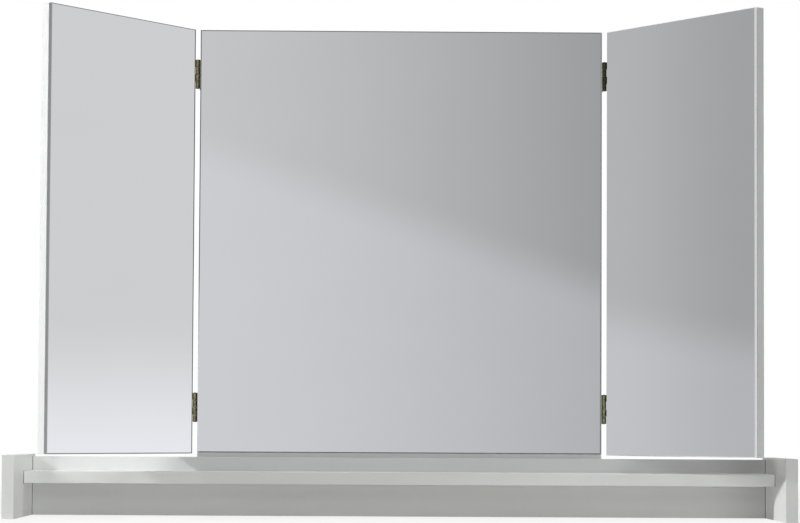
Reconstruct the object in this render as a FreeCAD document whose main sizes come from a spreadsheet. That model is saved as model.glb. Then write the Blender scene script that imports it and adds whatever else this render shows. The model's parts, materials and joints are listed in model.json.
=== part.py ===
import FreeCAD, Part
import math
import os
import re
import Sketcher

# Makeup mirror: a fixed centre mirror and two hinged mirror wings on a low shelf base.
# x runs to the right, y away from the person in front, z up; millimetres and degrees.
# The origin is the middle of the back panel's underside.

# Driving sizes: name, value, meaning
SIZES = (
    ("board", 16, "thickness of the base's coated boards"),
    ("panel", 12, "thickness of the mirrors' carrier boards"),
    ("edging", 0.8, "thickness of the edge bands"),
    ("edge_round", 0.5, "rounding along an edge band's outer corners"),
    ("base_width", 1036, "base over both end panels"),
    ("base_depth", 202, "end panels from front to rear"),
    ("end_height", 83, "height of the end panels"),
    ("back_height", 80, "height of the back panel"),
    ("shelf_depth", 86, "shelf from the back panel to its front edge"),
    ("shelf_lift", 45, "underside of the shelf above the table"),
    ("centre_width", 556, "width of the centre panel"),
    ("mirror_height", 584, "height of the centre mirror"),
    ("mirror_lift", 6, "centre mirror above the back panel"),
    ("board_foot", 10, "lower end of the centre board above the table"),
    ("glass", 4, "thickness of the mirror glass"),
    ("glass_arris", 0.8, "bevel round the front of the glass"),
    ("glass_inset", 0.25, "step from a panel's edge to its glass"),
    ("tape", 1, "thickness of the mounting tape"),
    ("tape_width", 20, "width of a tape strip"),
    ("tape_inset", 40, "tape strips from the panel's edges"),
    ("wing_gap", 6.2, "gap between centre panel and wing, and knuckle diameter"),
    ("wing_play", 1, "closed wing's edge from the middle of the mirror"),
    ("wing_drop", 1.5, "lower ends of the wings below the centre glass's"),
    ("left_fold", 51.7, "left wing folded forward from flat"),
    ("right_fold", 51.2, "right wing folded forward from flat"),
    ("hinge_inset", 62, "middle of a hinge from the panel's end"),
    ("hinge_length", 40, "length of a hinge"),
    ("hinge_lead", 0.75, "pin axis ahead of the glass"),
    ("knuckle_play", 0.2, "gap between two knuckles"),
    ("leaf", 1.2, "thickness of a hinge leaf"),
    ("leaf_width", 15, "hinge leaf from the pin axis"),
    ("leaf_notch", 0.4, "room round the other leaf's knuckles"),
    ("leaf_hole_in", 4, "screw holes from the leaf's long edge"),
    ("leaf_hole_pitch", 24, "distance between a leaf's screw holes"),
    ("pin_radius", 1.2, "hinge pin"),
    ("pin_proud", 0.4, "pin's ends past the knuckles"),
    ("pin_bevel", 0.3, "bevel on the pin's ends"),
    ("pin_grip", 0.02, "pin's clearance in the fixed leaf"),
    ("pin_run", 0.05, "pin's running clearance in the wing leaf"),
    ("leaf_screw", 1.25, "shank radius of the hinge screws"),
    ("leaf_head", 2.3, "head radius of the hinge screws"),
    ("leaf_screw_length", 14, "length of the hinge screws"),
    ("board_screw", 2, "shank radius of the centre board's screws"),
    ("board_head", 4, "head radius of the centre board's screws"),
    ("board_screw_stop", 3, "their points from the front of the back panel"),
    ("board_screw_lift", 40, "their height above the table"),
    ("board_screw_pitch", 160, "distance between them"),
    ("shelf_screw", 2.5, "shank radius of the shelf's screws"),
    ("shelf_head", 5, "head radius of the shelf's screws"),
    ("shelf_screw_length", 50, "length of the shelf's screws"),
    ("shelf_screw_pitch", 380, "distance between them"),
    ("screw_clear", 0.05, "radial clearance of a screw or bolt in its hole"),
    ("hole_spare", 1, "depth of a blind hole past what it holds"),
    ("dowel_radius", 4, "wooden dowels"),
    ("dowel_length", 30, "length of a dowel"),
    ("dowel_reach", 11, "dowel's length in an end panel"),
    ("dowel_bevel", 1, "bevel on a dowel's ends"),
    ("dowel_clear", 0.05, "radial clearance of a dowel in its hole"),
    ("cam_radius", 7.4, "cam locks"),
    ("cam_skin", 3.5, "board left behind a cam's bore"),
    ("cam_clear", 0.1, "clearance of a cam in its bore"),
    ("cam_in", 24, "cam's axis from the end of its board"),
    ("cam_past", 1, "cam's slot past its axis"),
    ("bolt_shaft", 3, "shaft radius of the cam bolts"),
    ("bolt_reach", 11, "cam bolt's length in an end panel"),
    ("bolt_neck", 1.9, "neck radius of the cam bolts"),
    ("bolt_neck_length", 5, "length of the neck"),
    ("bolt_head_length", 3, "length of the head behind the neck"),
    ("bolt_clear", 0.25, "room round a cam bolt in its board and cam"),
    ("shelf_bolt_in", 30, "cam bolts from the shelf's front edge"),
    ("shelf_dowel_in", 25, "dowels from the back panel's face"),
    ("back_bolt_lift", 25, "the back panel's cam bolts above the table"),
    ("back_dowel_lift", 66, "the back panel's dowels above the table"),
)

# Counts
KNUCKLES = 4
CENTRE_TAPES = 4
WING_TAPES = 2
BOARD_SCREWS = 4
SHELF_SCREWS = 3

# Drive recesses: span, width and depth of their slots as shares of the head's radius
SCREW_RECESS = (1.3, 0.3, 0.35)
CAM_RECESS = (1.3, 0.15, 0.175)

# The most of an edge band's thickness that its rounding takes, and the distance that counts as none
ROUND_SHARE = 0.8
NO_DISTANCE = 1e-6

# Places that several pieces share
INNER = "(base_width / 2 - board)"
REAR = "(board / 2 + panel)"
FRONT = f"({REAR} - base_depth)"
SHELF_FRONT = "(-board / 2 - shelf_depth)"
SHELF_MIDDLE = "(shelf_lift + board / 2)"
MIRROR_FOOT = "(back_height + mirror_lift)"
MIRROR_TOP = f"({MIRROR_FOOT} + mirror_height)"
WING_FOOT = f"({MIRROR_FOOT} - wing_drop)"
AXIS_X = "(centre_width / 2 + wing_gap / 2)"
AXIS_Y = "(board / 2 - tape - glass - hinge_lead)"
PANEL_FRONT = "(hinge_lead + glass + tape)"
WING_WIDTH = "(centre_width / 2 - wing_play)"
KNUCKLE = "(wing_gap / 2)"
PITCH = f"(hinge_length / {KNUCKLES})"
LEAF_START = f"({KNUCKLE} + leaf_notch)"
LEAF_HOLE = "(leaf_width - leaf_hole_in)"
BOARD_SCREW_LENGTH = "(board + panel - board_screw_stop)"
HINGE_FEET = {
    "lower": f"({MIRROR_FOOT} + hinge_inset - hinge_length / 2)",
    "upper": f"({MIRROR_TOP} - hinge_inset - hinge_length / 2)",
}
SIDES = {"left": -1, "right": 1}

# How a sketch numbers the points of a line or arc, its own two axes and its origin
START, END, MIDDLE = range(1, 4)
LEVEL_LINE, UPRIGHT_LINE = range(-1, -3, -1)
ORIGIN = (LEVEL_LINE, START)

X_AXIS = FreeCAD.Vector(1, 0, 0)
Y_AXIS = FreeCAD.Vector(0, 1, 0)
Z_AXIS = FreeCAD.Vector(0, 0, 1)
UP = FreeCAD.Rotation()
TURNED = FreeCAD.Rotation(Z_AXIS, 180)
FORWARD = FreeCAD.Rotation(X_AXIS, 90)
SIDEWAYS = {-1: FreeCAD.Rotation(Y_AXIS, -90), 1: FreeCAD.Rotation(Y_AXIS, 90)}

doc = FreeCAD.newDocument("makeup_mirror")
sheet = doc.addObject("Spreadsheet::Sheet", "Sizes")
for row, (alias, value, meaning) in enumerate(SIZES, start=1):
    sheet.set(f"A{row}", meaning)
    sheet.set(f"B{row}", str(value))
    sheet.setAlias(f"B{row}", alias)
doc.recompute()

ALIASES = {alias for alias, value, meaning in SIZES}
parts = []


def formula(text):
    """The text with each size's name pointing at its cell."""
    return re.sub(r"[a-z_]+", lambda word: f"Sizes.{word[0]}" if word[0] in ALIASES else word[0], text)


def bind(item, links):
    """Tie an object's properties to formulas in the names of the sizes."""
    for path, text in links.items():
        item.setExpression(path, formula(text))


def place(item, x="0", y="0", z="0", turn=None):
    """Put an object at a place given by formulas."""
    if turn:
        item.Placement = FreeCAD.Placement(FreeCAD.Vector(), turn)
    bind(item, {"Placement.Base.x": x, "Placement.Base.y": y, "Placement.Base.z": z})


def swing(item, side):
    """Put a piece of a wing on its hinge axis, folded forward."""
    name = "left" if side < 0 else "right"
    place(item, f"{side} * {AXIS_X}", AXIS_Y, turn=FreeCAD.Rotation(Z_AXIS * -side, 1))
    bind(item, {"Placement.Rotation.Angle": f"{name}_fold"})


def keep(item):
    """Count an object as a finished piece."""
    parts.append(item)
    return item


def block(name, length, width, height, x="0", y="0", z="0"):
    item = doc.addObject("Part::Box", name)
    bind(item, {"Length": length, "Width": width, "Height": height})
    place(item, x, y, z)
    return item


def rod(name, radius, length, x, y, z, turn):
    item = doc.addObject("Part::Cylinder", name)
    bind(item, {"Radius": radius, "Height": length})
    place(item, x, y, z, turn)
    return item


def sink(name, shank, head, x, y, z, turn):
    """The cone that takes a countersunk head."""
    item = doc.addObject("Part::Cone", name)
    bind(item, {"Radius1": f"{head} + screw_clear", "Radius2": f"{shank} + screw_clear"})
    bind(item, {"Height": f"{head} - {shank}"})
    place(item, x, y, z, turn)
    return item


def cut(name, base, tools):
    tool = doc.addObject("Part::MultiFuse", f"{name}_tools")
    tool.Shapes = tools
    item = doc.addObject("Part::Cut", name)
    item.Base = base
    item.Tool = tool
    return item


def group(name, items):
    item = doc.addObject("Part::Compound", name)
    item.Links = items
    return item


def copies(name, master, seats):
    """Equal pieces in one group; a seat is a place and a turn."""
    links = []
    for number, (x, y, z, turn) in enumerate(seats, start=1):
        link = doc.addObject("App::Link", f"{name}_{number}")
        link.LinkedObject = master
        place(link, x, y, z, turn)
        links.append(link)
    return group(name, links)


def band(name, length, width, height, x, y, z, axis, outwards):
    """An edge band with its two long outer corners rounded; axis is its long direction."""
    strip = block(f"{name}_strip", length, width, height, x, y, z)
    strip.recompute()
    centre = strip.Shape.CenterOfMass
    radius = min(sheet.get("edge_round"), sheet.get("edging") * ROUND_SHARE)
    rounded = []
    for number, edge in enumerate(strip.Shape.Edges, start=1):
        across = edge.tangentAt(edge.FirstParameter).cross(axis).Length
        if across < NO_DISTANCE and (edge.CenterOfMass - centre).dot(outwards) > 0:
            rounded.append((number, radius, radius))
    item = doc.addObject("Part::Fillet", name)
    item.Base = strip
    item.Edges = rounded
    return item


def sketch_on(body, name, role):
    """An empty sketch on one of the body's own planes."""
    sketch = body.newObject("Sketcher::SketchObject", name)
    plane = next(item for item in body.Origin.OriginFeatures if item.Role == role)
    sketch.AttachmentSupport = [(plane, "")]
    sketch.MapMode = "FlatFace"
    return sketch


def measure(sketch, kind, text, *places):
    """A constraint bound to a formula."""
    number = sketch.addConstraint(Sketcher.Constraint(kind, *places, 1.0))
    sketch.setExpression(f"Constraints[{number}]", formula(text))


def outline(sketch, corners):
    """A closed outline of straight lines; it starts rough and its corners move to their formulas."""
    count = len(corners)
    start = [FreeCAD.Vector(1 + number, number * number, 0) for number in range(count)]
    for number in range(count):
        sketch.addGeometry(Part.LineSegment(start[number], start[(number + 1) % count]), False)
    for number in range(count):
        sketch.addConstraint(Sketcher.Constraint("Coincident", number, END, (number + 1) % count, START))
    for number, (x, y) in enumerate(corners):
        for kind, line, text in (("DistanceX", UPRIGHT_LINE, x), ("DistanceY", LEVEL_LINE, y)):
            if text == "0":
                sketch.addConstraint(Sketcher.Constraint("PointOnObject", number, START, line))
            else:
                measure(sketch, kind, text, *ORIGIN, number, START)


def pad(body, sketch, length):
    item = body.newObject("PartDesign::Pad", f"{sketch.Name}_pad")
    item.Profile = sketch
    bind(item, {"Length": length})
    return item


def turned(name, corners):
    """A turned piece along z; its outline's corners are radius and height."""
    body = doc.addObject("PartDesign::Body", name)
    profile = sketch_on(body, f"{name}_profile", "XZ_Plane")
    outline(profile, corners)
    item = body.newObject("PartDesign::Revolution", f"{name}_turn")
    item.Profile = profile
    item.ReferenceAxis = (profile, ["V_Axis"])
    item.Angle = 360
    return body


def cross_recess(name, head, shares):
    """Two crossed slots for a screwdriver in a face at the origin."""
    span, width, depth = [f"{share} * {head}" for share in shares]
    slots = []
    for number, (long, wide) in enumerate(((span, width), (width, span)), start=1):
        slots.append(block(f"{name}_slot_{number}", long, wide, depth, f"-{long} / 2", f"-{wide} / 2"))
    return slots


def countersunk(name, shank, head, length):
    """A wood screw pointing along z, its head's face at the origin, with a cross recess."""
    point = f"{length} - 2 * {shank}"
    neck = f"{head} - {shank}"
    body = turned(f"{name}_body", [("0", "0"), (head, "0"), (shank, neck), (shank, point), ("0", length)])
    return cut(name, body, cross_recess(name, head, SCREW_RECESS))


def glass_pane(name, width, x, y, foot):
    """A mirror glass with a bevelled front; x, y and foot are its left end, its back and its panel's foot."""
    body = doc.addObject("PartDesign::Body", name)
    wide = f"{width} - 2 * glass_inset"
    high = f"{MIRROR_TOP} - {foot} - 2 * glass_inset"
    sketch = sketch_on(body, f"{name}_outline", "XZ_Plane")
    outline(sketch, [("0", "0"), (wide, "0"), (wide, high), ("0", high)])
    bind(sketch, {"AttachmentOffset.Base.x": f"{x} + glass_inset"})
    bind(sketch, {"AttachmentOffset.Base.y": f"{foot} + glass_inset"})
    bind(sketch, {"AttachmentOffset.Base.z": f"-({y})"})
    sheet_glass = pad(body, sketch, "glass")
    doc.recompute()
    front = sheet_glass.Shape.BoundBox.YMin
    rim = []
    for number, edge in enumerate(sheet_glass.Shape.Edges, start=1):
        if abs(edge.BoundBox.YMax - front) < NO_DISTANCE:
            rim.append(f"Edge{number}")
    arris = body.newObject("PartDesign::Chamfer", f"{name}_arris")
    arris.Base = (sheet_glass, rim)
    bind(arris, {"Size": "glass_arris"})
    return body


# Fasteners and fittings, each made once at the origin
leaf_screw = countersunk("leaf_screw_master", "leaf_screw", "leaf_head", "leaf_screw_length")
board_screw = countersunk("board_screw_master", "board_screw", "board_head", BOARD_SCREW_LENGTH)
shelf_screw = countersunk("shelf_screw_master", "shelf_screw", "shelf_head", "shelf_screw_length")
dowel = turned("dowel_master", [
    ("0", "0"),
    ("dowel_radius - dowel_bevel", "0"),
    ("dowel_radius", "dowel_bevel"),
    ("dowel_radius", "dowel_length - dowel_bevel"),
    ("dowel_radius - dowel_bevel", "dowel_length"),
    ("0", "dowel_length"),
])


def cam_bolt_master():
    """The bolt that screws into an end panel and whose head a cam pulls."""
    end = "bolt_reach + cam_in"
    head = f"{end} - bolt_head_length"
    neck = f"{head} - bolt_neck_length"
    return turned("cam_bolt_master", [
        ("0", "0"),
        ("bolt_shaft", "0"),
        ("bolt_shaft", neck),
        ("bolt_neck", neck),
        ("bolt_neck", head),
        ("bolt_shaft", head),
        ("bolt_shaft", end),
        ("0", end),
    ])


def cam_lock_master():
    """The cam with its face at the origin, its slot towards x and a cross recess in its face."""
    height = "board - cam_skin - cam_clear"
    drum = rod("cam_lock_drum", "cam_radius", height, "0", "0", "0", UP)
    half = "(bolt_shaft + bolt_clear)"
    room = f"2 * {half}"
    slot = block("cam_lock_bolt_slot", "cam_past + cam_radius", room, room,
                 "-cam_past", f"-{half}", f"board / 2 - {half}")
    return cut("cam_lock_master", drum, [slot] + cross_recess("cam_lock", "cam_radius", CAM_RECESS))


cam_bolt = cam_bolt_master()
cam_lock = cam_lock_master()

# Where the base's boards are joined to an end panel: place of the bolt's axis and of the dowel's
SHELF_BOLT_Y = f"({SHELF_FRONT} + shelf_bolt_in)"
SHELF_DOWEL_Y = "(-board / 2 - shelf_dowel_in)"
BOLT_PLACES = {"shelf": (SHELF_BOLT_Y, SHELF_MIDDLE), "back": ("0", "back_bolt_lift")}
DOWEL_PLACES = {"shelf": (SHELF_DOWEL_Y, SHELF_MIDDLE), "back": ("0", "back_dowel_lift")}
CAM_BORE = "(cam_radius + cam_clear)"


def end_panel(side_name):
    side = SIDES[side_name]
    name = f"{side_name}_end_panel"
    x = "-base_width / 2" if side < 0 else INNER
    core = block(f"{name}_core", "board", "base_depth - edging", "end_height - edging",
                 x, f"{FRONT} + edging")
    face = f"{side} * {INNER}"
    tools = []
    for where, (y, z) in BOLT_PLACES.items():
        hole = rod(f"{name}_{where}_bolt_hole", "bolt_shaft + screw_clear", "bolt_reach + hole_spare",
                   face, y, z, SIDEWAYS[side])
        tools.append(hole)
    for where, (y, z) in DOWEL_PLACES.items():
        hole = rod(f"{name}_{where}_dowel_hole", "dowel_radius + dowel_clear", "dowel_reach + hole_spare",
                   face, y, z, SIDEWAYS[side])
        tools.append(hole)
    keep(cut(name, core, tools))
    front = band(f"{name}_front_band", "board", "edging", "end_height", x, FRONT, "0", Z_AXIS, -Y_AXIS)
    top = band(f"{name}_top_band", "board", "base_depth - edging", "edging",
               x, f"{FRONT} + edging", "end_height - edging", Y_AXIS, Z_AXIS)
    keep(group(f"{side_name}_end_edging", [front, top]))


def end_holes(name, where):
    """Holes for bolts, dowels and cams in both ends of the shelf or the back panel."""
    tools = []
    for side_name, side in SIDES.items():
        face = f"{side} * {INNER}"
        inwards = SIDEWAYS[-side]
        label = f"{name}_{side_name}"
        y, z = BOLT_PLACES[where]
        tools.append(rod(f"{label}_bolt_hole", "bolt_shaft + bolt_clear", "cam_in", face, y, z, inwards))
        cam_x = f"{side} * ({INNER} - cam_in)"
        depth = "board - cam_skin"
        if where == "shelf":
            tools.append(rod(f"{label}_cam_bore", CAM_BORE, depth, cam_x, y, "shelf_lift", UP))
        else:
            tools.append(rod(f"{label}_cam_bore", CAM_BORE, depth, cam_x, "board / 2", z, FORWARD))
        y, z = DOWEL_PLACES[where]
        tools.append(rod(f"{label}_dowel_hole", "dowel_radius + dowel_clear",
                         "dowel_length - dowel_reach + hole_spare", face, y, z, inwards))
    return tools


def row_of(count, pitch):
    """Formulas for evenly spaced places about the middle."""
    return [f"{number - (count - 1) / 2} * {pitch}" for number in range(count)]


def shelf():
    core = block("shelf_core", f"2 * {INNER}", "shelf_depth - edging", "board",
                 f"-{INNER}", f"{SHELF_FRONT} + edging", "shelf_lift")
    tools = end_holes("shelf", "shelf")
    depth = "shelf_screw_length - board + hole_spare"
    for number, x in enumerate(row_of(SHELF_SCREWS, "shelf_screw_pitch"), start=1):
        tools.append(rod(f"shelf_pilot_{number}", "shelf_screw + screw_clear", depth,
                         x, "-board / 2", SHELF_MIDDLE, FORWARD))
    keep(cut("shelf", core, tools))
    front = band("shelf_front_band", f"2 * {INNER}", "edging", "board",
                 f"-{INNER}", SHELF_FRONT, "shelf_lift", X_AXIS, -Y_AXIS)
    keep(group("shelf_edging", [front]))


def back_panel():
    core = block("back_panel_core", f"2 * {INNER}", "board", "back_height - edging",
                 f"-{INNER}", "-board / 2")
    tools = end_holes("back_panel", "back")
    for number, x in enumerate(row_of(SHELF_SCREWS, "shelf_screw_pitch"), start=1):
        seat = (x, "board / 2", SHELF_MIDDLE, FORWARD)
        tools.append(rod(f"back_panel_hole_{number}", "shelf_screw + screw_clear", "board", *seat))
        tools.append(sink(f"back_panel_sink_{number}", "shelf_screw", "shelf_head", *seat))
    depth = "board - board_screw_stop + hole_spare"
    for number, x in enumerate(row_of(BOARD_SCREWS, "board_screw_pitch"), start=1):
        tools.append(rod(f"back_panel_pilot_{number}", "board_screw + screw_clear", depth,
                         x, "board / 2", "board_screw_lift", FORWARD))
    keep(cut("back_panel", core, tools))
    top = band("back_panel_top_band", f"2 * {INNER}", "board", "edging",
               f"-{INNER}", "-board / 2", "back_height - edging", X_AXIS, Z_AXIS)
    keep(group("back_panel_edging", [top]))


def base_fittings():
    """Screws, bolts, cams and dowels that hold the base and the centre board together."""
    seats = [(x, "board / 2", SHELF_MIDDLE, FORWARD) for x in row_of(SHELF_SCREWS, "shelf_screw_pitch")]
    keep(copies("shelf_screws", shelf_screw, seats))
    seats = [(x, REAR, "board_screw_lift", FORWARD) for x in row_of(BOARD_SCREWS, "board_screw_pitch")]
    keep(copies("centre_board_screws", board_screw, seats))
    bolts = []
    cams = []
    dowels = []
    for side in SIDES.values():
        facing = UP if side > 0 else TURNED
        cam_x = f"{side} * ({INNER} - cam_in)"
        for where, (y, z) in BOLT_PLACES.items():
            bolts.append((f"{side} * ({INNER} + bolt_reach)", y, z, SIDEWAYS[-side]))
            if where == "shelf":
                cams.append((cam_x, y, "shelf_lift", facing))
            else:
                cams.append((cam_x, "board / 2", z, FORWARD * facing))
        for y, z in DOWEL_PLACES.values():
            dowels.append((f"{side} * ({INNER} + dowel_reach)", y, z, SIDEWAYS[-side]))
    keep(copies("cam_bolts", cam_bolt, bolts))
    keep(copies("cam_locks", cam_lock, cams))
    keep(copies("wooden_dowels", dowel, dowels))


def leaf_hole_heights():
    """Heights of the screw holes of both hinges on one side."""
    heights = []
    for foot in HINGE_FEET.values():
        for way in ("-", "+"):
            heights.append(f"{foot} + hinge_length / 2 {way} leaf_hole_pitch / 2")
    return heights


def hinge_pilots(name, x, y, turn):
    """Pilot holes for the leaf screws in the edge of a panel."""
    depth = "leaf_screw_length - leaf + hole_spare"
    pilots = []
    for number, z in enumerate(leaf_hole_heights(), start=1):
        pilots.append(rod(f"{name}_pilot_{number}", "leaf_screw + screw_clear", depth, x, y, z, turn))
    return pilots


def tapes(name, count, width, x, y, foot):
    """Upright strips of tape behind a glass; x and foot are its panel's left end and foot, y their front."""
    high = f"{MIRROR_TOP} - {foot} - 2 * tape_inset"
    strips = []
    for number in range(count):
        step = f"{number / (count - 1)} * ({width} - 2 * tape_inset - tape_width)"
        strip = block(f"{name}_{number + 1}", "tape_width", "tape", high,
                      f"{x} + tape_inset + {step}", y, f"{foot} + tape_inset")
        strips.append(strip)
    return group(name, strips)


def centre_panel():
    high = f"{MIRROR_TOP} - edging - board_foot"
    left = "-centre_width / 2"
    core = block("centre_board_core", "centre_width - 2 * edging", "panel", high,
                 f"{left} + edging", "board / 2", "board_foot")
    hole_y = f"{AXIS_Y} + {LEAF_HOLE}"
    tools = []
    bands = []
    for side_name, side in SIDES.items():
        edge = f"{side} * centre_width / 2"
        tools += hinge_pilots(f"centre_board_{side_name}", edge, hole_y, SIDEWAYS[-side])
        x = left if side < 0 else "centre_width / 2 - edging"
        strip = band(f"centre_{side_name}_band", "edging", "panel", high, x, "board / 2", "board_foot",
                     Z_AXIS, X_AXIS * side)
        pilots = hinge_pilots(f"centre_{side_name}_band", edge, hole_y, SIDEWAYS[-side])
        bands.append(cut(f"centre_{side_name}_drilled_band", strip, pilots))
    for number, x in enumerate(row_of(BOARD_SCREWS, "board_screw_pitch"), start=1):
        seat = (x, REAR, "board_screw_lift", FORWARD)
        tools.append(rod(f"centre_board_hole_{number}", "board_screw + screw_clear", "panel", *seat))
        tools.append(sink(f"centre_board_sink_{number}", "board_screw", "board_head", *seat))
    keep(cut("centre_board", core, tools))
    bands.append(band("centre_top_band", "centre_width", "panel", "edging",
                      left, "board / 2", f"{MIRROR_TOP} - edging", X_AXIS, Z_AXIS))
    keep(group("centre_board_edging", bands))
    seat = (left, "board / 2 - tape", MIRROR_FOOT)
    keep(glass_pane("centre_mirror_glass", "centre_width", *seat))
    keep(tapes("centre_mirror_tape", CENTRE_TAPES, "centre_width", *seat))


def wing(side_name):
    """A mirrored wing, drawn flat with its hinge axis at the origin and then folded."""
    side = SIDES[side_name]
    name = f"{side_name}_wing"
    near = "wing_gap / 2"
    left = near if side > 0 else f"-{near} - {WING_WIDTH}"
    foot = f"{WING_FOOT} + edging"
    high = f"{MIRROR_TOP} - {WING_FOOT} - 2 * edging"
    core = block(f"{name}_core", f"{WING_WIDTH} - 2 * edging", "panel", high,
                 f"{left} + edging", PANEL_FRONT, foot)
    edge = f"{side} * {near}"
    board = cut(f"{name}_board", core, hinge_pilots(name, edge, LEAF_HOLE, SIDEWAYS[side]))
    ends = {-1: left, 1: f"{left} + {WING_WIDTH} - edging"}
    hinge_strip = band(f"{name}_hinge_band", "edging", "panel", high, ends[-side], PANEL_FRONT, foot,
                       Z_AXIS, X_AXIS * -side)
    pilots = hinge_pilots(f"{name}_hinge_band", edge, LEAF_HOLE, SIDEWAYS[side])
    bands = [cut(f"{name}_drilled_band", hinge_strip, pilots)]
    bands.append(band(f"{name}_free_band", "edging", "panel", high, ends[side], PANEL_FRONT, foot,
                      Z_AXIS, X_AXIS * side))
    bands.append(band(f"{name}_lower_band", WING_WIDTH, "panel", "edging", left, PANEL_FRONT, WING_FOOT,
                      X_AXIS, -Z_AXIS))
    bands.append(band(f"{name}_upper_band", WING_WIDTH, "panel", "edging", left, PANEL_FRONT,
                      f"{MIRROR_TOP} - edging", X_AXIS, Z_AXIS))
    edging = group(f"{name}_edging", bands)
    seat = (left, "hinge_lead + glass", WING_FOOT)
    glass = glass_pane(f"{name}_glass", WING_WIDTH, *seat)
    tape = tapes(f"{name}_tape", WING_TAPES, WING_WIDTH, *seat)
    for piece in (board, edging, glass, tape):
        swing(keep(piece), side)


def knuckle_profile(sketch, side, bore):
    """The rolled end of a leaf: an arc round the pin that runs into the leaf's two faces."""
    radius = sheet.get("wing_gap") / 2
    thick = sheet.get("leaf")
    start = radius + sheet.get("leaf_notch")
    inner = side * (radius - thick)
    outer = side * radius
    slope = math.acos((radius - thick) / radius)
    middle = FreeCAD.Vector()
    circle = Part.Circle(middle, Z_AXIS, radius)
    if side > 0:
        sketch.addGeometry(Part.ArcOfCircle(circle, slope, 2 * math.pi), False)
        on_inner, on_outer = START, END
    else:
        sketch.addGeometry(Part.ArcOfCircle(circle, math.pi, 3 * math.pi - slope), False)
        on_inner, on_outer = END, START
    rise = math.sqrt(radius ** 2 - inner ** 2)
    corners = [(outer, 0), (outer, start), (inner, start), (inner, rise)]
    points = [FreeCAD.Vector(x, y, 0) for x, y in corners]
    for first, second in zip(points, points[1:]):
        sketch.addGeometry(Part.LineSegment(first, second), False)
    sketch.addGeometry(Part.Circle(middle, Z_AXIS, sheet.get("pin_radius")), False)
    roll, outer_face, step, inner_face, hole = range(5)
    joined = [
        (roll, MIDDLE, *ORIGIN),
        (hole, MIDDLE, *ORIGIN),
        (roll, on_outer, outer_face, START),
        (outer_face, END, step, START),
        (step, END, inner_face, START),
        (inner_face, END, roll, on_inner),
    ]
    for places in joined:
        sketch.addConstraint(Sketcher.Constraint("Coincident", *places))
    sketch.addConstraint(Sketcher.Constraint("Vertical", outer_face))
    sketch.addConstraint(Sketcher.Constraint("Horizontal", step))
    sketch.addConstraint(Sketcher.Constraint("Vertical", inner_face))
    sketch.addConstraint(Sketcher.Constraint("PointOnObject", roll, on_outer, LEVEL_LINE))
    measure(sketch, "Radius", KNUCKLE, roll)
    measure(sketch, "Radius", bore, hole)
    measure(sketch, "DistanceY", LEAF_START, *ORIGIN, step, START)
    across = (END, START) if side > 0 else (START, END)
    measure(sketch, "DistanceX", "leaf", step, across[0], step, across[1])


def hinge_leaf(name, side, first, bore):
    """A leaf with its pin along z at the origin, lying on the edge of the panel on the given side."""
    body = doc.addObject("PartDesign::Body", name)
    inner = "(wing_gap / 2 - leaf)"
    plate = sketch_on(body, f"{name}_plate", "XY_Plane")
    long = f"leaf_width - {LEAF_START}"
    outline(plate, [("0", "0"), ("leaf", "0"), ("leaf", long), ("0", long)])
    plate_x = inner if side > 0 else "-wing_gap / 2"
    bind(plate, {"AttachmentOffset.Base.x": plate_x, "AttachmentOffset.Base.y": LEAF_START})
    pad(body, plate, "hinge_length")
    for number in range(first, KNUCKLES, 2):
        knuckle = sketch_on(body, f"{name}_knuckle_{number + 1}", "XY_Plane")
        knuckle_profile(knuckle, side, bore)
        bind(knuckle, {"AttachmentOffset.Base.z": f"{number} * {PITCH} + knuckle_play / 2"})
        pad(body, knuckle, f"{PITCH} - knuckle_play")
    holes = sketch_on(body, f"{name}_holes", "YZ_Plane")
    rough = FreeCAD.Vector(sheet.get("leaf_width"), sheet.get("hinge_length"), 0)
    for number, way in enumerate(("-", "+")):
        holes.addGeometry(Part.Circle(rough * (number + 1), Z_AXIS, sheet.get("leaf_screw")), False)
        measure(holes, "Radius", "leaf_screw + screw_clear", number)
        height = f"hinge_length / 2 {way} leaf_hole_pitch / 2"
        measure(holes, "DistanceX", LEAF_HOLE, *ORIGIN, number, MIDDLE)
        measure(holes, "DistanceY", height, *ORIGIN, number, MIDDLE)
    drilled = body.newObject("PartDesign::Pocket", f"{name}_drilled")
    drilled.Profile = holes
    drilled.Type = "ThroughAll"
    drilled.SideType = "Symmetric"
    doc.recompute()
    face = side * (sheet.get("wing_gap") / 2 - sheet.get("leaf"))
    rims = []
    for number, edge in enumerate(drilled.Shape.Edges, start=1):
        box = edge.BoundBox
        on_face = max(abs(box.XMin - face), abs(box.XMax - face)) < NO_DISTANCE
        if on_face and isinstance(edge.Curve, Part.Circle):
            rims.append(f"Edge{number}")
    countersink = body.newObject("PartDesign::Chamfer", f"{name}_countersink")
    countersink.Base = (drilled, rims)
    bind(countersink, {"Size": "leaf_head - leaf_screw"})
    return body


def hinge_pin(name):
    end = "hinge_length + 2 * pin_proud"
    return turned(name, [
        ("0", "0"),
        ("pin_radius - pin_bevel", "0"),
        ("pin_radius", "pin_bevel"),
        ("pin_radius", f"{end} - pin_bevel"),
        ("pin_radius - pin_bevel", end),
        ("0", end),
    ])


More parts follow.
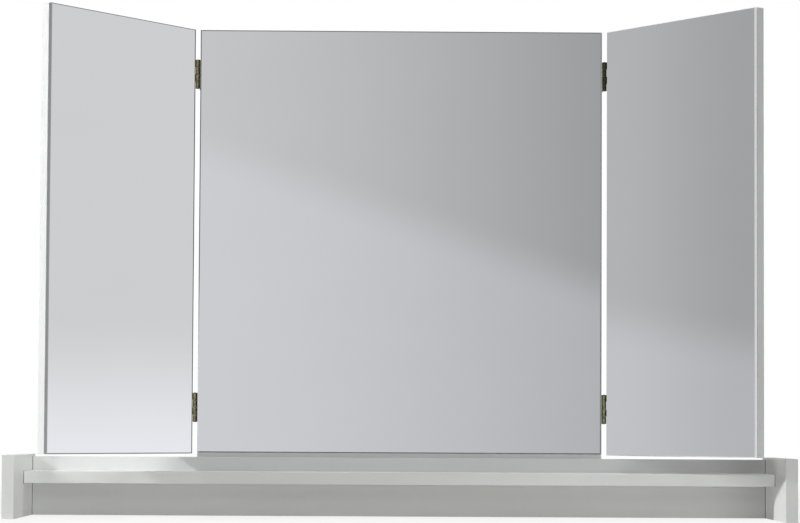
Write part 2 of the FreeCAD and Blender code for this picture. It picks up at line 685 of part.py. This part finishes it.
def hinges(side_name):
    """Both hinges of one side, with the screws of their leaves."""
    side = SIDES[side_name]
    axis_x = f"{side} * {AXIS_X}"
    for level, foot in HINGE_FEET.items():
        name = f"{side_name}_{level}_hinge"
        fixed = keep(hinge_leaf(f"{name}_fixed_leaf", -side, 0, "pin_radius + pin_grip"))
        place(fixed, axis_x, AXIS_Y, foot)
        moving = keep(hinge_leaf(f"{name}_wing_leaf", side, 1, "pin_radius + pin_run"))
        swing(moving, side)
        bind(moving, {"Placement.Base.z": foot})
        pin = keep(hinge_pin(f"{name}_pin"))
        place(pin, axis_x, AXIS_Y, f"{foot} - pin_proud")
    face = "(wing_gap / 2 - leaf)"
    seats = [(f"{axis_x} - {side} * {face}", f"{AXIS_Y} + {LEAF_HOLE}", z, SIDEWAYS[-side])
             for z in leaf_hole_heights()]
    keep(copies(f"{side_name}_fixed_leaf_screws", leaf_screw, seats))
    seats = [(f"{side} * {face}", LEAF_HOLE, z, SIDEWAYS[side]) for z in leaf_hole_heights()]
    swing(keep(copies(f"{side_name}_wing_leaf_screws", leaf_screw, seats)), side)


for name in SIDES:
    end_panel(name)
back_panel()
shelf()
base_fittings()
centre_panel()
for name in SIDES:
    wing(name)
    hinges(name)

doc.recompute()
faults = [item.Name for item in doc.Objects if {"Invalid", "Error"} & set(item.State)]
faults += [item.Label for item in parts if item.Shape.isNull() or not item.Shape.isValid()]
if faults:
    raise RuntimeError("pieces that failed: " + ", ".join(faults))

os.makedirs("parts", exist_ok=True)
for item in parts:
    item.Shape.exportStep(os.path.join("parts", f"{item.Label}.step"))
    box = item.Shape.BoundBox
    spans = f"x {box.XMin:.2f} to {box.XMax:.2f}, y {box.YMin:.2f} to {box.YMax:.2f}"
    spans += f", z {box.ZMin:.2f} to {box.ZMax:.2f}"
    print(f"{item.Label}: {len(item.Shape.Solids)} solids, {item.Shape.Volume:.1f} mm3, {spans}")
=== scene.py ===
import json
import math

import bpy
from mathutils import Matrix, Vector

# Makeup mirror: the finishes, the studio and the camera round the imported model.
# Metres; x runs to the right, y away from the person in front, z up.

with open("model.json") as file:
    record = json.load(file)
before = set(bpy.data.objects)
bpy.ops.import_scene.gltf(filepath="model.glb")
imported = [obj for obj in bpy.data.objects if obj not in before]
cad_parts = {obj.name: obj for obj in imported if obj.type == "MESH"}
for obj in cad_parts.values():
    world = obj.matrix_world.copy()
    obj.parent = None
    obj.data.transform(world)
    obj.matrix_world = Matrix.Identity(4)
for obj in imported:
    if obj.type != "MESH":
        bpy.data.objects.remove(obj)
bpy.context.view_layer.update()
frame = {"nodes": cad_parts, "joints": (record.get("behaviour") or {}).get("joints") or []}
pieces = frame["nodes"]

FRONT = Vector((0.0, -1.0, 0.0))
X_AXIS = Vector((1.0, 0.0, 0.0))
Y_AXIS = Vector((0.0, 1.0, 0.0))
Z_AXIS = Vector((0.0, 0.0, 1.0))

# The camera: place, turn to the right, tilt up, roll, and its lens on a sensor 36 mm wide.
# The rise of the lens keeps the uprights nearly parallel.
CAMERA_PLACE = (-0.0252, -3.4800, 0.1165)
CAMERA_YAW = 0.0072
CAMERA_PITCH = 0.0459
CAMERA_ROLL = 0.0053
SENSOR_WIDTH = 36.0
FOCAL_LENGTH = 113.93
LENS_RISE = 0.0669

# Lamps: name, place, width and height, and power in watts. All point at the same place.
# The key light comes from the left, so that the wings throw their shadows on the base.
LAMPS = (
    ("key", (-3.8, -0.86, 2.0), (0.30, 0.30), 111.0),
    ("left_high", (-0.9, -0.5, 3.0), (1.0, 1.0), 18.0),
    ("front_high", (0.0, -3.4, 0.9), (0.5, 0.5), 8.5),
    ("front_strip", (0.7, -3.5, 0.12), (2.4, 0.2), 21.0),
    ("right_low", (2.6, -1.0, 0.2), (0.35, 0.35), 4.0),
    ("behind_strip", (-1.2, 3.0, 0.05), (1.6, 0.06), 34.0),
)
LAMP_AIM = (0.0, -0.1, 0.1)
LAMP_COLOUR = (0.99, 1.0, 1.03)
SKY_LEVEL = 0.03
WHITE = (1.0, 1.0, 1.0, 1.0)

# The floor: how far it reaches and how far it lies below the object, its colour, and how white it shows
# at two distances from the object
FLOOR_HALF = 30.0
FLOOR_DROP = 0.0002
FLOOR_COLOUR = (0.93, 0.92, 0.86, 1.0)
FLOOR_ROUGHNESS = 0.9
FLOOR_REACH = (0.7, 2.5)
FLOOR_WHITES = (0.84, 1.0)

# Studio flats: glowing sheets that light nothing and paint the reflections the mirrors show. A flat stands
# along x (axis 0) or y (axis 1), on one side of the object. Over a stretch its tone runs from one value to
# another. Below a soft line it is lighter by a lift, a painted pool of light. The height of that line's edge
# and the lift run from one value to another over a span.
FLAT_DISTANCE = 5.0
FLAT_HALF = 4.6
FLAT_HEIGHT = 5.0
FLAT_FADE = 0.6
UPPER_TINT = (0.998, 1.0, 1.020, 1.0)
LOWER_TINT = (0.986, 0.994, 1.044, 1.0)
FLATS = {
    "viewer_flat": dict(axis=0, side=-1, stretch=(-0.9, 1.5), tones=(0.625, 0.295), span=(-0.64, 0.70),
                        lifts=(0.065, 0.120), edges=(1.07, 0.60), softness=0.10),
    "right_flat": dict(axis=1, side=1, stretch=(0.35, 0.85), tones=(0.685, 0.685), span=(0.35, 0.85),
                       lifts=(0.225, 0.225), edges=(0.26, 0.26), softness=0.28),
    "left_flat": dict(axis=1, side=-1, stretch=(0.18, 0.69), tones=(0.400, 0.500), span=(0.18, 0.69),
                      lifts=(0.110, 0.105), edges=(0.41, 0.51), softness=0.11),
}

# A grey glow on the floor that only the mirrors see, a painted reflection: its tones at two distances, and
# where it fades in
MIRRORED_FLOOR_REACH = (0.3, 3.5)
MIRRORED_FLOOR_TONES = (0.74, 0.45)
MIRRORED_FLOOR_FADE = (0.25, 0.9)

# Cosines from which a face counts as square to a direction, and as turned towards it
SQUARE = 0.9
ASLANT = 0.3

# The part of a noise's values that its tones and roughness are spread over
NOISE_SPAN = (0.3, 0.7)

# Coated boards: two shades of white, the grey of a faint pearl grain and its share, roughness and sheen
BOARD_SHADE = (0.845, 0.850, 0.833, 1.0)
BOARD_WHITE = (0.868, 0.873, 0.858, 1.0)
PEARL_GREY = (0.76, 0.76, 0.75, 1.0)
PEARL_SHARE = (0.0, 0.06)
BOARD_ROUGHNESS = (0.40, 0.50)
BOARD_SHEEN = 0.2

# The boards' cut edges: their roughness, how finely the flakes lie along each axis, how much the flakes and
# the dust between them count, and the browns from low to high
CUT_ROUGHNESS = 0.9
FLAKES_PER_METRE = (420, 420, 700)
FLAKE_SHARE = 0.7
DUST_SHARE = 0.3
CHIPBOARD_BROWNS = (
    (0.15, (0.16, 0.09, 0.04, 1.0)),
    (0.40, (0.36, 0.23, 0.12, 1.0)),
    (0.65, (0.50, 0.35, 0.20, 1.0)),
    (0.90, (0.62, 0.47, 0.30, 1.0)),
)

# Edge bands: two shades of white, their roughness and their sheen
BAND_SHADE = (0.855, 0.860, 0.845, 1.0)
BAND_WHITE = (0.878, 0.883, 0.870, 1.0)
BAND_ROUGHNESS = (0.30, 0.40)
BAND_SHEEN = 0.25

# The dark joint where a board meets an end panel
JOINT_WIDTH = 0.0009
JOINT_GREY = (0.22, 0.22, 0.20, 1.0)

# The glasses: the body that each belongs to, the painted tone of its ground sides, and the lines at its
# left, right and level edges, each with its width, its painted tone low down and its painted tone high up
# The lines are the silver's real edge; their tones, and how they change with height, are painted light.
# These tones are painted light and shade: the same ground glass is bright on the right wing as a painted
# highlight and dark on the centre mirror as painted shade.
GLASSES = {
    "left_wing_glass": dict(body="left_wing", side_painted_tone=0.49, left=(0.0008, 0.50, 0.50),
                            right=(0.0026, 0.18, 0.10), level=(0.0013, 0.30, 0.30)),
    "centre_mirror_glass": dict(body="base", side_painted_tone=0.24, left=(0.0014, 0.95, 0.24),
                                right=(0.0022, 0.38, 0.46), level=(0.0014, 0.24, 0.24)),
    "right_wing_glass": dict(body="right_wing", side_painted_tone=0.94, left=(0.0010, 0.18, 0.25),
                             right=(0.0008, 0.94, 0.94), level=(0.0008, 0.94, 0.94)),
}

# How much a grain varies the tone of a glass's sides and lines, their roughness, and between which heights
# the painted light on a line changes
RIM_GRAIN = 0.1
RIM_ROUGHNESS = 0.6
LINE_LIGHT_CHANGE = (0.22, 0.33)

# Silver and back paint of the glasses: two tones each; wiping marks on the silver and the haze they leave
SILVER_TONES = ((0.880, 0.890, 0.886, 1.0), (0.892, 0.902, 0.900, 1.0))
PAINT_TONES = ((0.27, 0.29, 0.30, 1.0), (0.32, 0.345, 0.355, 1.0))
WIPES_PER_METRE = (6.0, 6.0, 14.0)
HAZE_SPAN = (0.3, 0.8)
HAZE_ROUGHNESS = (0.0, 0.015)

# Brass of each hinge: its dark, its light and its stain; then the noise values over which it turns from dark
# to light and over which the stain comes in, the stain's share, and the roughness from dark to light
HINGE_SKINS = {
    "left_upper": ((0.09, 0.075, 0.03, 1.0), (0.46, 0.41, 0.22, 1.0), (0.34, 0.22, 0.12, 1.0)),
    "left_lower": ((0.09, 0.08, 0.03, 1.0), (0.45, 0.42, 0.22, 1.0), (0.33, 0.28, 0.14, 1.0)),
    # The upper right hinge's much darker skin is painted shade.
    "right_upper": ((0.02, 0.02, 0.008, 1.0), (0.10, 0.10, 0.045, 1.0), (0.06, 0.06, 0.025, 1.0)),
    "right_lower": ((0.06, 0.065, 0.02, 1.0), (0.42, 0.45, 0.22, 1.0), (0.26, 0.28, 0.11, 1.0)),
}
MOTTLE_SPAN = (0.32, 0.62)
STAIN_SPAN = (0.45, 0.7)
STAIN_SHARE = (0.0, 0.7)
BRASS_ROUGHNESS = (0.42, 0.28)

# Painted shade on the brass where it turns from the key light, which also darkens the gaps between knuckles;
# the side towards the key light, where a painted highlight lets the skin show; and between which two cosines
# to that side the painted shade gives way
HINGE_PAINTED_SHADE_AND_GAP = (0.012, 0.011, 0.004, 1.0)
HINGE_LIT_SIDE = Vector((-0.17, -0.985, 0.0))
HINGE_LIT_SPAN = (0.70, 1.0)

# Length of a hinge knuckle and the width of the dark gap between two
KNUCKLE = 0.010
KNUCKLE_GAP = 0.0007

# Grey metals: dark, light and middle roughness, and how far the roughness varies
ZINC = ((0.42, 0.43, 0.44, 1.0), (0.62, 0.63, 0.65, 1.0), 0.30)
CAST_METAL = ((0.34, 0.34, 0.35, 1.0), (0.50, 0.50, 0.51, 1.0), 0.48)
METAL_VARIATION = 0.08

# Beech of the dowels: its browns from low to high, how finely its flecks lie along each axis, and roughness
BEECH_BROWNS = (
    (0.25, (0.36, 0.22, 0.12, 1.0)),
    (0.45, (0.56, 0.39, 0.24, 1.0)),
    (0.80, (0.64, 0.47, 0.31, 1.0)),
)
BEECH_FLECKS_PER_METRE = (90.0, 900.0, 900.0)
BEECH_ROUGHNESS = (0.75, 0.6)

# Foam of the tapes: the dark of its pores and the grey between them
FOAM_PORE = (0.020, 0.020, 0.021, 1.0)
FOAM_SKIN = (0.065, 0.065, 0.066, 1.0)
FOAM_SPAN = (0.1, 0.5)
FOAM_ROUGHNESS = 0.9


def new_material(name):
    """A material, its node tree and its main shader."""
    material = bpy.data.materials.new(name)
    material.use_nodes = True
    return material, material.node_tree, material.node_tree.nodes["Principled BSDF"]


def set_inputs(tree, target, values):
    """Give inputs of a node plain values or other nodes' outputs."""
    for key, value in values.items():
        if isinstance(value, bpy.types.NodeSocket):
            tree.links.new(value, target.inputs[key])
        else:
            target.inputs[key].default_value = value


def node(tree, kind, values=None, **settings):
    """A node with its settings and inputs."""
    made = tree.nodes.new(f"ShaderNode{kind}")
    for key, value in settings.items():
        setattr(made, key, value)
    set_inputs(tree, made, values or {})
    return made


def maths(tree, operation, *values):
    """The result of a sum on numbers."""
    return node(tree, "Math", dict(enumerate(values)), operation=operation).outputs[0]


def mapped(tree, value, span, result, kind="LINEAR"):
    """A value carried from one span to another and held at its ends."""
    inputs = {"Value": value, "From Min": span[0], "From Max": span[1]}
    inputs.update({"To Min": result[0], "To Max": result[1]})
    return node(tree, "MapRange", inputs, interpolation_type=kind).outputs["Result"]


def faded(tree, value, span, result=(0.0, 1.0)):
    """A value carried from one span to another with soft ends."""
    return mapped(tree, value, span, result, "SMOOTHSTEP")


def mixed(tree, factor, first, second):
    """Two colours mixed by a factor."""
    return node(tree, "Mix", {0: factor, 6: first, 7: second}, data_type="RGBA").outputs[2]


def chosen(tree, factor, first, second):
    """Two numbers mixed by a factor."""
    return node(tree, "Mix", {0: factor, 2: first, 3: second}, data_type="FLOAT").outputs[0]


def noise(tree, coords, scale, detail=2.0, roughness=0.5):
    """A cloudy pattern."""
    inputs = {"Vector": coords, "Scale": scale, "Detail": detail, "Roughness": roughness}
    return node(tree, "TexNoise", inputs).outputs[0]


def stretched(tree, coords, scale):
    """Coordinates stretched to another scale along each axis."""
    return node(tree, "Mapping", {"Vector": coords, "Scale": scale}).outputs[0]


def ramp(tree, factor, stops):
    """A colour ramp from pairs of position and colour."""
    made = node(tree, "ValToRGB", {"Fac": factor})
    elements = made.color_ramp.elements
    while len(elements) < len(stops):
        elements.new(1.0)
    for element, (position, colour) in zip(elements, stops):
        element.position = position
        element.color = colour
    return made.outputs["Color"]


def two_tone(tree, factor, dark, light, span=NOISE_SPAN):
    """A colour that runs from dark to light over a span of a factor."""
    return ramp(tree, factor, ((span[0], dark), (span[1], light)))


def bump(tree, height, depth, strength):
    """A surface raised and lowered by a pattern."""
    inputs = {"Height": height, "Distance": depth, "Strength": strength}
    return node(tree, "Bump", inputs).outputs["Normal"]


def own_place(tree):
    """A point's place in its piece."""
    return node(tree, "TexCoord").outputs["Object"]


def dot(tree, vector, direction):
    """How far a vector reaches along a direction."""
    inputs = {0: vector, 1: direction}
    return node(tree, "VectorMath", inputs, operation="DOT_PRODUCT").outputs["Value"]


def facing(tree, direction):
    """How squarely a face looks along a direction of the piece: 1 towards it, -1 away from it."""
    return dot(tree, node(tree, "TexCoord").outputs["Normal"], direction)


def along(tree, direction):
    """A point's place along a direction of its piece."""
    return dot(tree, own_place(tree), direction)


def distance_out(tree):
    """A point's distance from the middle of the stage."""
    return node(tree, "VectorMath", {0: own_place(tree)}, operation="LENGTH").outputs["Value"]


def near_end(tree, piece, direction, width):
    """1 where a point of a piece lies within a width of the piece's end along a direction."""
    end = max(corner.co.dot(direction) for corner in piece.data.vertices)
    return maths(tree, "GREATER_THAN", along(tree, direction), end - width)


def joint_line(tree, piece, colour):
    """A colour with the dark joint drawn at the two ends of a piece that lies along x."""
    ends = [near_end(tree, piece, direction, JOINT_WIDTH) for direction in (X_AXIS, -X_AXIS)]
    return mixed(tree, maths(tree, "MAXIMUM", *ends), colour, JOINT_GREY)


def chipboard(tree, coords):
    """Colour of a board's cut edge: pressed flakes of several browns."""
    flakes = node(tree, "TexVoronoi", {"Vector": stretched(tree, coords, FLAKES_PER_METRE), "Scale": 1.0})
    shade = node(tree, "RGBToBW", {0: flakes.outputs["Color"]}).outputs[0]
    dust = noise(tree, coords, scale=900.0, detail=3.0)
    mix = maths(tree, "MULTIPLY_ADD", shade, FLAKE_SHARE, maths(tree, "MULTIPLY", dust, DUST_SHARE))
    return ramp(tree, mix, CHIPBOARD_BROWNS)


def white_board(name, across, jointed=None):
    """Coated board with a fine pearl grain on its faces and bare chipboard on its cut edges.
    across is the direction through the board's thickness; a jointed piece meets the end panels."""
    material, tree, shader = new_material(name)
    coords = own_place(tree)
    squareness = maths(tree, "ABSOLUTE", facing(tree, across))
    coated = maths(tree, "GREATER_THAN", squareness, SQUARE)
    cloud = noise(tree, coords, scale=5.0, detail=3.0)
    pearl = noise(tree, coords, scale=620.0, roughness=0.6)
    white = two_tone(tree, cloud, BOARD_SHADE, BOARD_WHITE)
    white = mixed(tree, mapped(tree, pearl, NOISE_SPAN, PEARL_SHARE), white, PEARL_GREY)
    if jointed:
        white = joint_line(tree, jointed, white)
    satin = mapped(tree, pearl, NOISE_SPAN, BOARD_ROUGHNESS)
    set_inputs(tree, shader, {
        "Base Color": mixed(tree, coated, chipboard(tree, coords), white),
        "Roughness": chosen(tree, coated, CUT_ROUGHNESS, satin),
        "Normal": bump(tree, pearl, depth=0.00003, strength=0.5),
        "Specular IOR Level": BOARD_SHEEN,
    })
    return material


def white_edging(name, jointed=None):
    """Plastic edge band: smoother and a touch brighter than the board, with a faint milled waviness."""
    material, tree, shader = new_material(name)
    coords = own_place(tree)
    fine = noise(tree, coords, scale=1500.0)
    colour = two_tone(tree, noise(tree, coords, scale=14.0), BAND_SHADE, BAND_WHITE)
    if jointed:
        colour = joint_line(tree, jointed, colour)
    set_inputs(tree, shader, {
        "Base Color": colour,
        "Roughness": mapped(tree, fine, NOISE_SPAN, BAND_ROUGHNESS),
        "Normal": bump(tree, fine, depth=0.00001, strength=0.4),
        "Specular IOR Level": BAND_SHEEN,
    })
    return material


def grey_grain(tree, grain, tone):
    """A grey that a grain varies a little."""
    return maths(tree, "MULTIPLY", tone, mapped(tree, grain, NOISE_SPAN, (1 - RIM_GRAIN, 1 + RIM_GRAIN)))


def mirror_glass(name, body, side_painted_tone, left, right, level):
    """Silvered glass: a mirror in front with dull lines inside its edges, ground sides, and paint behind.
    The lines lie at the left and right edges, as seen from in front, and at the level edges. The tones of
    the sides and lines are painted light and shade."""
    material, tree, shader = new_material(name)
    coords = own_place(tree)
    front = front_of(body)
    to_left = front.cross(Z_AXIS)
    turned = facing(tree, front)
    grain = noise(tree, coords, scale=800.0, detail=3.0)
    height = along(tree, Z_AXIS)
    in_front = maths(tree, "GREATER_THAN", turned, ASLANT)
    silver = maths(tree, "GREATER_THAN", turned, SQUARE)
    # The sides' and lines' tones are painted light and shade, set for each glass.
    rim = grey_grain(tree, grain, side_painted_tone)
    lines = ((Z_AXIS, level), (-Z_AXIS, level), (to_left, left), (-to_left, right))
    for direction, (width, low_painted_tone, high_painted_tone) in lines:
        line = near_end(tree, pieces[name], direction, width)
        tone = mapped(tree, height, LINE_LIGHT_CHANGE, (low_painted_tone, high_painted_tone))
        rim = mixed(tree, maths(tree, "MULTIPLY", in_front, line), rim, grey_grain(tree, grain, tone))
        silver = maths(tree, "MULTIPLY", silver, maths(tree, "SUBTRACT", 1.0, line))
    painted = maths(tree, "LESS_THAN", turned, -SQUARE)
    wipe = noise(tree, stretched(tree, coords, WIPES_PER_METRE), scale=1.0, detail=4.0)
    shine = two_tone(tree, wipe, *SILVER_TONES)
    paint = two_tone(tree, grain, *PAINT_TONES)
    haze = mapped(tree, wipe, HAZE_SPAN, HAZE_ROUGHNESS)
    set_inputs(tree, shader, {
        "Base Color": mixed(tree, painted, mixed(tree, silver, rim, shine), paint),
        "Metallic": maths(tree, "SUBTRACT", 1.0, painted),
        "Roughness": chosen(tree, silver, RIM_ROUGHNESS, haze),
    })
    return material


def brass(name, dark, light, stain):
    """Dark olive brass with a mottled skin that turns brown in places, painted lighter as a highlight on the
    side towards the key light, with painted shade on the sides turned from it and dark gaps between the
    knuckles."""
    material, tree, shader = new_material(name)
    coords = own_place(tree)
    mottle = noise(tree, coords, scale=260.0, detail=4.0, roughness=0.6)
    skin = two_tone(tree, mottle, dark, light, MOTTLE_SPAN)
    stained = mapped(tree, noise(tree, coords, scale=90.0), STAIN_SPAN, STAIN_SHARE)
    skin = mixed(tree, stained, skin, stain)
    # Painted highlight and shade: the skin shows on the side towards the key light, painted shade elsewhere
    lit_side = faded(tree, facing(tree, HINGE_LIT_SIDE), HINGE_LIT_SPAN)
    lowest = min(corner.co.z for corner in pieces["left_lower_hinge_fixed_leaf"].data.vertices)
    step = maths(tree, "PINGPONG", maths(tree, "SUBTRACT", along(tree, Z_AXIS), lowest), KNUCKLE / 2)
    solid = maths(tree, "GREATER_THAN", step, KNUCKLE_GAP / 2)
    bright = maths(tree, "MULTIPLY", lit_side, solid)
    set_inputs(tree, shader, {
        "Base Color": mixed(tree, bright, HINGE_PAINTED_SHADE_AND_GAP, skin),
        "Roughness": mapped(tree, mottle, NOISE_SPAN, BRASS_ROUGHNESS),
        "Normal": bump(tree, noise(tree, coords, scale=1400.0, detail=3.0), depth=0.00002, strength=0.5),
        "Metallic": 1.0,
    })
    return material


def plated_metal(name, dark, light, roughness):
    """Grey metal with a fine, cloudy surface."""
    material, tree, shader = new_material(name)
    coords = own_place(tree)
    cloud = noise(tree, coords, scale=420.0, detail=4.0, roughness=0.6)
    roughnesses = (roughness + METAL_VARIATION, roughness - METAL_VARIATION)
    set_inputs(tree, shader, {
        "Base Color": two_tone(tree, cloud, dark, light),
        "Roughness": mapped(tree, cloud, NOISE_SPAN, roughnesses),
        "Normal": bump(tree, noise(tree, coords, scale=1800.0), depth=0.00002, strength=0.4),
        "Metallic": 1.0,
    })
    return material


def beech(name):
    """Plain beech with short darker flecks along x, which is the way the dowels lie."""
    material, tree, shader = new_material(name)
    coords = stretched(tree, own_place(tree), BEECH_FLECKS_PER_METRE)
    grain = noise(tree, coords, scale=1.0, detail=4.0, roughness=0.6)
    set_inputs(tree, shader, {
        "Base Color": ramp(tree, grain, BEECH_BROWNS),
        "Roughness": mapped(tree, grain, NOISE_SPAN, BEECH_ROUGHNESS),
        "Normal": bump(tree, grain, depth=0.0001, strength=0.4),
    })
    return material


def foam(name):
    """Dark foam tape with fine open pores."""
    material, tree, shader = new_material(name)
    pores = node(tree, "TexVoronoi", {"Vector": own_place(tree), "Scale": 2200.0}).outputs["Distance"]
    set_inputs(tree, shader, {
        "Base Color": two_tone(tree, pores, FOAM_PORE, FOAM_SKIN, FOAM_SPAN),
        "Roughness": FOAM_ROUGHNESS,
        "Normal": bump(tree, pores, depth=0.0001, strength=0.6),
    })
    return material


def front_of(body):
    """The way the mirrored side of a body looks at rest: a wing is turned from flat by its hinge."""
    for joint in frame["joints"]:
        if joint["child"] == body:
            fold = math.radians(-joint["range_deg"][0])
            return Matrix.Rotation(fold, 3, Vector(joint["axis"])) @ FRONT
    return FRONT


def dress(name, material):
    """Give a piece its material."""
    pieces[name].data.materials.clear()
    pieces[name].data.materials.append(material)


def dress_all(words, material):
    """Give a material to every piece whose name holds one of the words."""
    for name in pieces:
        if any(word in name for word in words):
            dress(name, material)


def dress_model():
    """Give every piece its finish; a later finish takes the place of an earlier one."""
    dress_all(("end_panel",), white_board("white_board_ends", X_AXIS))
    dress("centre_board", white_board("white_board_centre", Y_AXIS))
    dress_all(("edging",), white_edging("white_edging"))
    for board, across in (("back_panel", Y_AXIS), ("shelf", Z_AXIS)):
        band = f"{board}_edging"
        dress(board, white_board(f"white_board_{board}", across, pieces[board]))
        dress(band, white_edging(f"white_edging_{board}", pieces[band]))
    for wing in ("left_wing", "right_wing"):
        dress(f"{wing}_board", white_board(f"white_board_{wing}", front_of(wing)))
    for glass, settings in GLASSES.items():
        dress(glass, mirror_glass(glass, **settings))
    dress_all(("_tape",), foam("mounting_tape"))
    for place, skin in HINGE_SKINS.items():
        dress_all((f"{place}_hinge",), brass(f"{place}_hinge_brass", *skin))
    dress_all(("hinge_pin", "leaf_screws"), brass("pin_brass", *HINGE_SKINS["left_lower"]))
    dress_all(("shelf_screws", "centre_board_screws", "cam_bolts"), plated_metal("steel_screws", *ZINC))
    dress("cam_locks", plated_metal("cam_metal", *CAST_METAL))
    dress("wooden_dowels", beech("dowel_wood"))


def clear_of_mirrors():
    """The mirrors face one another; each shows only the studio and the shelf below."""
    for name, piece in pieces.items():
        piece.visible_glossy = "shelf" in name


def stage_sheet(name, corners):
    """A flat four-cornered stage piece."""
    mesh = bpy.data.meshes.new(name)
    mesh.from_pydata(corners, [], [(0, 1, 2, 3)])
    piece = bpy.data.objects.new(name, mesh)
    bpy.context.scene.collection.objects.link(piece)
    return piece


def square_sheet(name, half, height):
    """A square stage piece that lies flat round the middle."""
    signs = ((-1, -1), (1, -1), (1, 1), (-1, 1))
    return stage_sheet(name, [(x * half, y * half, height) for x, y in signs])


def show_blend(tree, share, first, second, output="Material Output"):
    """Show two shaders mixed by a share."""
    blend = node(tree, "MixShader", {0: share, 1: first.outputs[0], 2: second.outputs[0]})
    tree.links.new(blend.outputs[0], tree.nodes[output].inputs["Surface"])


def seen_white(tree):
    """1 for the rays that show the white background: what the camera sees, mirrored or through glass."""
    path = node(tree, "LightPath").outputs
    mirrored = maths(tree, "MAXIMUM", path["Is Glossy Ray"], path["Is Transmission Ray"])
    return maths(tree, "MAXIMUM", path["Is Camera Ray"], mirrored)


def floor():
    """A pale floor that fades to white away from the object and keeps its shadow near it."""
    piece = square_sheet("floor", FLOOR_HALF, -FLOOR_DROP)
    material, tree, shader = new_material("floor_paint")
    set_inputs(tree, shader, {
        "Base Color": FLOOR_COLOUR,
        "Roughness": FLOOR_ROUGHNESS,
        "Specular IOR Level": 0.0,
    })
    white = faded(tree, distance_out(tree), FLOOR_REACH, FLOOR_WHITES)
    glow = node(tree, "Emission", {"Color": WHITE, "Strength": 1.0})
    show_blend(tree, maths(tree, "MULTIPLY", white, seen_white(tree)), shader, glow)
    piece.data.materials.append(material)


def mirrors_only(piece):
    """Let only mirrors and metal show a stage piece, and return the tree of its still empty material."""
    for kind in ("camera", "diffuse", "shadow", "transmission", "volume_scatter"):
        setattr(piece, f"visible_{kind}", False)
    material, tree, shader = new_material(piece.name)
    tree.nodes.remove(shader)
    piece.data.materials.append(material)
    return tree


def glow_where(tree, shown, colour, strength):
    """A glow where a piece is shown, which fades to clear elsewhere."""
    glow = node(tree, "Emission", {"Color": colour, "Strength": strength})
    show_blend(tree, shown, node(tree, "BsdfTransparent"), glow)


def studio_flat(name, axis, side, stretch, tones, span, lifts, edges, softness):
    """A soft-edged glowing sheet that only mirrors and metal show, with painted reflections and a painted
    pool of light on it.
    """
    corners = []
    for end, top in ((-1, 0), (1, 0), (1, 1), (-1, 1)):
        corner = [0.0, 0.0, top * FLAT_HEIGHT]
        corner[axis] = end * FLAT_HALF
        corner[1 - axis] = side * FLAT_DISTANCE
        corners.append(corner)
    tree = mirrors_only(stage_sheet(name, corners))
    height = along(tree, Z_AXIS)
    aside = along(tree, (X_AXIS, Y_AXIS)[axis])
    tone = faded(tree, aside, stretch, tones)
    pool_lift = mapped(tree, aside, span, lifts)
    # A painted pool of light: the sheet is lighter below a soft line
    below = maths(tree, "SUBTRACT", mapped(tree, aside, span, edges), height)
    lower = faded(tree, below, (-softness, softness))
    level = maths(tree, "MULTIPLY_ADD", lower, pool_lift, tone)
    tint = mixed(tree, lower, UPPER_TINT, LOWER_TINT)
    sideways = faded(tree, maths(tree, "ABSOLUTE", aside), (FLAT_HALF * FLAT_FADE, FLAT_HALF), (1.0, 0.0))
    upwards = faded(tree, height, (FLAT_HEIGHT * FLAT_FADE, FLAT_HEIGHT), (1.0, 0.0))
    glow_where(tree, maths(tree, "MULTIPLY", sideways, upwards), tint, level)


def mirrored_floor_glow():
    """A grey glow all round on the floor that only mirrors and metal show, a painted reflection darker
    further out.
    """
    tree = mirrors_only(square_sheet("mirrored_floor_glow", FLAT_DISTANCE, FLOOR_DROP))
    away = distance_out(tree)
    glow_where(tree, faded(tree, away, MIRRORED_FLOOR_FADE), LOWER_TINT, mapped(tree, away, MIRRORED_FLOOR_REACH, MIRRORED_FLOOR_TONES))


def sky():
    """White where it is seen, and a plain soft light from everywhere."""
    world = bpy.data.worlds.new("studio")
    bpy.context.scene.world = world
    world.use_nodes = True
    tree = world.node_tree
    soft = tree.nodes["Background"]
    set_inputs(tree, soft, {"Color": WHITE, "Strength": SKY_LEVEL})
    white = node(tree, "Background", {"Color": WHITE, "Strength": 1.0})
    show_blend(tree, seen_white(tree), soft, white, "World Output")


def lamp(name, place, spread, power):
    """A flat lamp that the mirrors don't show."""
    light = bpy.data.lights.new(name, "AREA")
    light.color = LAMP_COLOUR
    light.shape = "RECTANGLE"
    light.size, light.size_y = spread
    light.energy = power
    piece = bpy.data.objects.new(name, light)
    piece.location = place
    piece.rotation_euler = (Vector(LAMP_AIM) - Vector(place)).to_track_quat("-Z", "Y").to_euler()
    piece.visible_glossy = False
    bpy.context.scene.collection.objects.link(piece)


def camera():
    """The camera of the photograph."""
    data = bpy.data.cameras.new("camera")
    data.sensor_width = SENSOR_WIDTH
    data.lens = FOCAL_LENGTH
    data.shift_y = LENS_RISE
    piece = bpy.data.objects.new("camera", data)
    level = Matrix.Rotation(-CAMERA_YAW, 4, "Z") @ Matrix.Rotation(math.pi / 2 + CAMERA_PITCH, 4, "X")
    piece.matrix_world = Matrix.Translation(CAMERA_PLACE) @ level @ Matrix.Rotation(CAMERA_ROLL, 4, "Z")
    bpy.context.scene.collection.objects.link(piece)
    bpy.context.scene.camera = piece


dress_model()
clear_of_mirrors()
floor()
for flat, settings in FLATS.items():
    studio_flat(flat, **settings)
mirrored_floor_glow()
sky()
for settings in LAMPS:
    lamp(*settings)
camera()
bpy.context.scene.view_settings.view_transform = "Standard"
